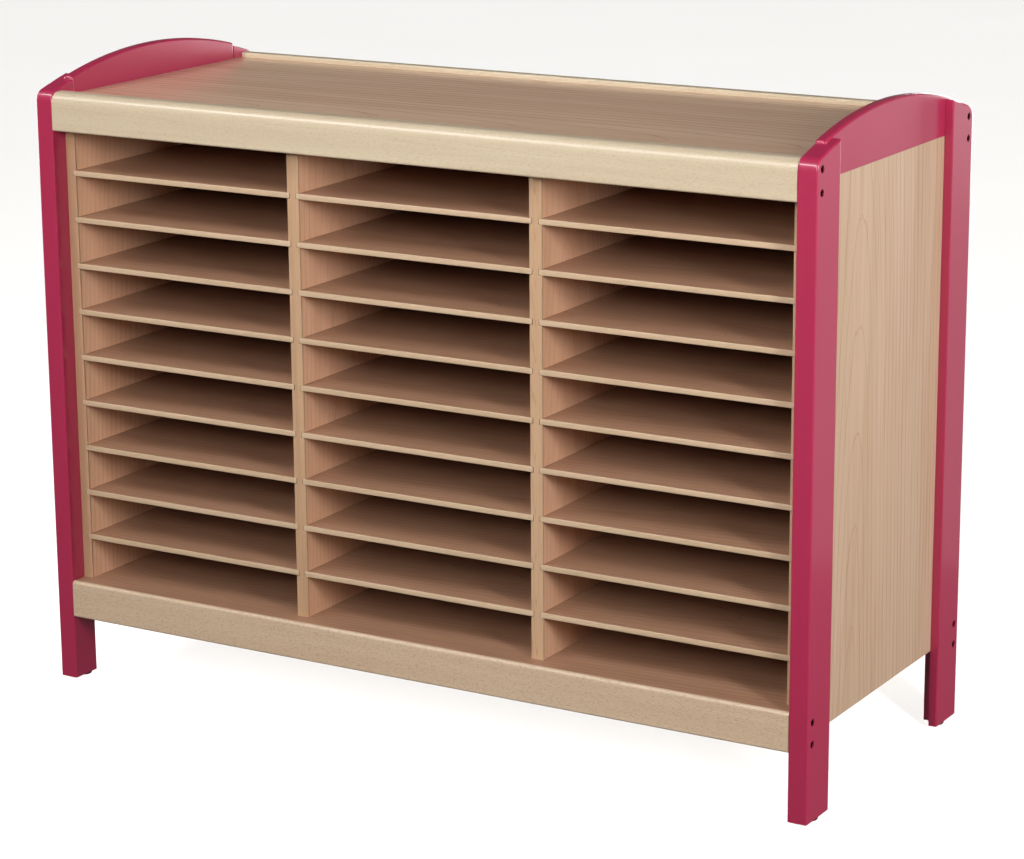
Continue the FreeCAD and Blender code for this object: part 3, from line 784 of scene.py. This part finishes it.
@dataclass
class Uprights:
    """Side panels and dividers with their front edgings, whose arrises are eased.

    Attributes:
        arris_mm: Radius of the edging's eased front arrises.
        arris_steps: Flats along each rounding.
        boards: Kinds of upright board.
    """

    arris_mm: float = 0.9
    arris_steps: int = 4
    boards: tuple[str, ...] = ("side", "divider")

    def build(self, palette: Palette) -> None:
        """Builds the eased edgings over the plain ones of the frame."""
        for board in self.boards:
            for side in SIDES:
                self.ease_edging(f"{board}_edging_{side}", palette.upright_edging)

    def ease_edging(self, node: str, material: bpy.types.Material) -> None:
        """Rounds the long front arrises of one edging.

        Args:
            node: The plain edging's name.
            material: The edging's finish.
        """
        low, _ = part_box(node)

        def on_front(edge: bmesh.types.BMEdge) -> bool:
            """Tells whether an edge runs up the front face."""
            start, end = (v.co for v in edge.verts)
            upright = abs(start.x - end.x) < TOUCH and abs(start.y - end.y) < TOUCH
            return upright and abs(start.y - low.y) < TOUCH

        piece = eased_copy(node, f"{node}_eased", self.arris_mm * MM, self.arris_steps, on_front, material)
        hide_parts(node)
        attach(piece, CABINET)

    def dress(self, palette: Palette) -> None:
        """Gives the uprights their board and edging finishes."""
        for side in SIDES:
            dress(f"side_panel_{side}", palette.wall_board)
            dress(f"divider_{side}", palette.wall_board)
            dress(f"side_edging_{side}", palette.upright_edging)
            dress(f"divider_edging_{side}", palette.upright_edging)


@dataclass
class LevelBoards:
    """Top, base and back panels and the four solid rails that hold them between the posts.

    Attributes:
        ends: Where the rails run, in the depth of the cabinet.
    """

    ends: tuple[str, ...] = ("front", "rear")

    def dress(self, palette: Palette) -> None:
        """Gives the level boards and rails their finishes."""
        dress("top_panel", palette.top_board)
        dress("base_panel", palette.shelf_board)
        dress("back_panel", palette.back_board)
        for end in self.ends:
            dress(f"rail_top_{end}", palette.solid_beech)
            dress(f"rail_bottom_{end}", palette.steamed_beech)


@dataclass
class Shelves:
    """Twenty-seven thin shelves, each with a pale edging strip glued round its front edge.

    Attributes:
        proud_mm: How far the strip stands in front of the shelf.
        lap_mm: How far the strip reaches back over the shelf's own rounding.
        inset_mm: How far the strip's faces lie within the shelf's faces.
        arris_mm: Radius of the strip's front arrises.
        arris_steps: Flats along each rounding.
        names: The shelves' names, from the lowest up in each column.
    """

    proud_mm: float = 0.15
    lap_mm: float = 0.8
    inset_mm: float = 0.02
    arris_mm: float = 0.9
    arris_steps: int = 4
    names: list[str] = field(default_factory=lambda: [
        f"shelf_{column}_{level + 1}" for column in COLUMNS for level in range(SHELVES_PER_COLUMN)])

    def build(self, palette: Palette) -> None:
        """Builds a strip on every shelf."""
        for name in self.names:
            strip = self.strip(name, palette.shelf_edging)
            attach(strip, name)

    def strip(self, shelf: str, material: bpy.types.Material) -> bpy.types.Object:
        """Builds the edging strip of one shelf.

        Args:
            shelf: The shelf's name, which is also its body's.
            material: The strip's finish.

        Returns:
            The strip, in place.
        """
        low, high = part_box(shelf)
        front = low.y - self.proud_mm * MM
        back = low.y + self.lap_mm * MM
        bottom = low.z + self.inset_mm * MM
        top = high.z - self.inset_mm * MM
        radius = self.arris_mm * MM
        outline = [(back, bottom)]
        for centre_z, first_deg in ((bottom + radius, 3 * QUARTER_DEG), (top - radius, 2 * QUARTER_DEG)):
            for step in range(self.arris_steps + 1):
                turn = math.radians(first_deg - QUARTER_DEG * step / self.arris_steps)
                outline.append((front + radius + radius * math.cos(turn), centre_z + radius * math.sin(turn)))
        outline.append((back, top))
        return new_piece(f"{shelf}_edging", prism(outline, low.x, high.x), material)

    def dress(self, palette: Palette) -> None:
        """Gives the shelves their board finish."""
        for name in self.names:
            dress(name, palette.shelf_board)


@dataclass
class Hardware:
    """Bolts, barrel nuts, dowels, screws and glides."""

    def dress(self, palette: Palette) -> None:
        """Gives the fasteners and glides their finishes."""
        dress("rail_bolts", palette.black_steel)
        dress("barrel_nuts", palette.zinc_steel)
        dress("rail_dowels", palette.solid_beech)
        dress("back_screws", palette.zinc_steel)
        dress("glides", palette.black_plastic)


@dataclass(frozen=True)
class Softbox:
    """An oblong studio light with a diffuser.

    Attributes:
        name: The light's name.
        place: Where it hangs, in metres.
        aim: The point it faces.
        width: Width of the diffuser.
        height: Height of the diffuser.
        power: Watts.
        spread_deg: How wide its grid lets the light out.
        spares_floor: Whether a flag keeps its light off the floor.
        mirrored: Whether glossy surfaces show its reflection.
    """

    name: str
    place: tuple[float, float, float]
    aim: tuple[float, float, float]
    width: float
    height: float
    power: float
    spread_deg: float = 180.0
    spares_floor: bool = False
    mirrored: bool = True

    def build(self, floor: bpy.types.Object) -> None:
        """Hangs the light and turns it to its aim.

        Args:
            floor: The studio's floor.
        """
        data = bpy.data.lights.new(self.name, "AREA")
        data.shape = "RECTANGLE"
        data.size = self.width
        data.size_y = self.height
        data.energy = self.power
        data.spread = math.radians(self.spread_deg)
        lamp = bpy.data.objects.new(self.name, data)
        lamp.location = self.place
        lamp.rotation_euler = (Vector(self.aim) - Vector(self.place)).to_track_quat("-Z", "Y").to_euler()
        lamp.visible_glossy = self.mirrored
        bpy.context.scene.collection.objects.link(lamp)
        if self.spares_floor:
            flag = bpy.data.collections.new(f"flag_of_{self.name}")
            flag.objects.link(floor)
            flag.collection_objects[0].light_linking.link_state = "EXCLUDE"
            lamp.light_linking.receiver_collection = flag
        LOG.info("hung %s", self.name)


@dataclass(frozen=True)
class Studio:
    """A pale floor, soft lights and the camera at the photograph's angle.

    Attributes:
        floor_size: Side of the floor, in metres.
        floor_cells: Mesh cells along a side of the floor.
        floor_lamp: Strength of the even light that only the floor takes, so that it stays pale.
        camera_place: Where the camera stands, in metres.
        azimuth_deg: How far the camera stands round to the right of the front.
        elevation_deg: How far it looks down.
        roll_deg: How far it leans.
        focal_pixels: Focal length in pixels of the photograph.
        image_width: Width of the photograph in pixels.
        sensor_mm: Width of the camera's sensor.
        ceiling: Colour of the light from above.
        ground: Colour of the light from below.
        horizon: Upward parts of a direction between which the ground's light gives way to the ceiling's.
        softboxes: The lights that model the cabinet.
    """

    floor_size: float = 60.0
    floor_cells: int = 8
    floor_lamp: float = 3.1
    camera_place: tuple[float, float, float] = (2.2345, -3.7416, 1.5470)
    azimuth_deg: float = 30.566
    elevation_deg: float = 14.701
    roll_deg: float = 0.418
    focal_pixels: float = 3158.9
    image_width: int = 1024
    sensor_mm: float = 36.0
    ceiling: str = "#323232"
    ground: str = "#68625E"
    horizon: tuple[float, float] = (0.1, 0.7)
    softboxes: tuple[Softbox, ...] = (
        Softbox("front_softbox", (0.7, -4.4, 2.4), (0.0, -0.2, 1.15), 1.3, 1.3, 19.9, 70.0),
        Softbox("right_softbox", (2.5, -1.5, 1.45), (0.5, -0.2, 0.6), 0.2, 0.85, 38.7, mirrored=False),
        Softbox("side_softbox", (4.0, 0.5, 1.2), (0.6, 0.0, 0.7), 1.0, 1.0, 77.6, spares_floor=True),
        Softbox("nose_softbox", (-1.3, -1.85, 2.75), (0.0, -0.2, 0.85), 2.4, 0.25, 49.0),
        Softbox("rim_softbox", (2.0, 2.6, 0.1), (0.5, 0.0, 0.45), 1.8, 1.4, 2.4, spares_floor=True),
        Softbox("back_softbox", (0.2, 3.3, 0.7), (0.0, 0.2, 0.5), 1.8, 1.0, 62.0, spares_floor=True),
        Softbox("left_softbox", (-3.2, 0.2, 0.8), (-0.6, 0.0, 0.5), 1.2, 1.0, 44.0, spares_floor=True),
    )

    def build(self) -> None:
        """Lays the floor, lights the room and sets up the camera."""
        floor = self.lay_floor()
        self.light_floor(floor)
        self.light_room()
        for softbox in self.softboxes:
            softbox.build(floor)
        self.set_camera()

    def lay_floor(self) -> bpy.types.Object:
        """Lays the pale floor under the glides.

        Returns:
            The floor, which throws no coloured light back on the cabinet.
        """
        mesh = bmesh.new()
        cells = self.floor_cells
        bmesh.ops.create_grid(mesh, x_segments=cells, y_segments=cells, size=self.floor_size / 2)
        paint = MattPaint("floor_paint_matt_pale", "#F3F2F0", "#EFEEEC").material()
        floor = new_piece("studio_floor", mesh, paint)
        floor.visible_diffuse = False
        floor.visible_glossy = False
        return floor

    def light_floor(self, floor: bpy.types.Object) -> None:
        """Lights the floor alone, evenly and from straight above.

        Args:
            floor: The studio's floor.
        """
        data = bpy.data.lights.new("floor_lamp", "SUN")
        data.energy = self.floor_lamp
        data.use_shadow = False
        lamp = bpy.data.objects.new("floor_lamp", data)
        bpy.context.scene.collection.objects.link(lamp)
        lit = bpy.data.collections.new("lit_by_floor_lamp")
        lit.objects.link(floor)
        lamp.light_linking.receiver_collection = lit
        LOG.info("lit %s", floor.name)

    def light_room(self) -> None:
        """Fills the room with soft light, brighter from below in place of what a pale floor throws back."""
        world = bpy.data.worlds.new("studio_room")
        world.use_nodes = True
        tree = world.node_tree
        tree.nodes.clear()
        way = add_node(tree, "ShaderNodeTexCoord").outputs["Generated"]
        height = add_node(tree, "ShaderNodeSeparateXYZ", None, {0: way}).outputs["Z"]
        start, full = self.horizon
        share = add_node(tree, "ShaderNodeMapRange", {"interpolation_type": "SMOOTHSTEP"},
                         {"Value": height, "From Min": start, "From Max": full})
        colour = add_node(tree, "ShaderNodeMix", {"data_type": "RGBA"}, {
            MIX_SHARE: share.outputs[0], MIX_FIRST: linear(self.ground), MIX_SECOND: linear(self.ceiling)})
        glow = add_node(tree, "ShaderNodeBackground", None,
                        {"Color": colour.outputs[MIX_RESULT], "Strength": 1.0})
        add_node(tree, "ShaderNodeOutputWorld", None, {"Surface": glow.outputs[0]})
        bpy.context.scene.world = world
        bpy.context.scene.view_settings.view_transform = "Standard"

    def set_camera(self) -> None:
        """Stands the camera where the photograph was taken from."""
        degrees = (self.azimuth_deg, self.elevation_deg, self.roll_deg)
        azimuth, elevation, roll = (math.radians(d) for d in degrees)
        back = Vector((math.sin(azimuth) * math.cos(elevation), -math.cos(azimuth) * math.cos(elevation),
                       math.sin(elevation)))
        level = Vector((0, 0, 1)).cross(back).normalized()
        upright = back.cross(level)
        right = level * math.cos(roll) - upright * math.sin(roll)
        up = upright * math.cos(roll) + level * math.sin(roll)
        data = bpy.data.cameras.new("photograph_camera")
        data.sensor_width = self.sensor_mm
        data.lens = self.sensor_mm * self.focal_pixels / self.image_width
        camera = bpy.data.objects.new("photograph_camera", data)
        turned = Matrix((right, up, back)).transposed().to_4x4()
        camera.matrix_world = Matrix.Translation(self.camera_place) @ turned
        bpy.context.scene.collection.objects.link(camera)
        bpy.context.scene.camera = camera
        LOG.info("stood the camera %.2f m from the cabinet", Vector(self.camera_place).length)


def main() -> None:
    """Builds and dresses the cabinet, then the studio round it."""
    logging.basicConfig(level=logging.INFO, format="%(name)s: %(message)s")
    palette = Palette.mixed()
    EndFrames().dress(palette)
    uprights = Uprights()
    uprights.dress(palette)
    uprights.build(palette)
    LevelBoards().dress(palette)
    shelves = Shelves()
    shelves.dress(palette)
    shelves.build(palette)
    Hardware().dress(palette)
    Studio().build()


if __name__ == "__main__":
    main()
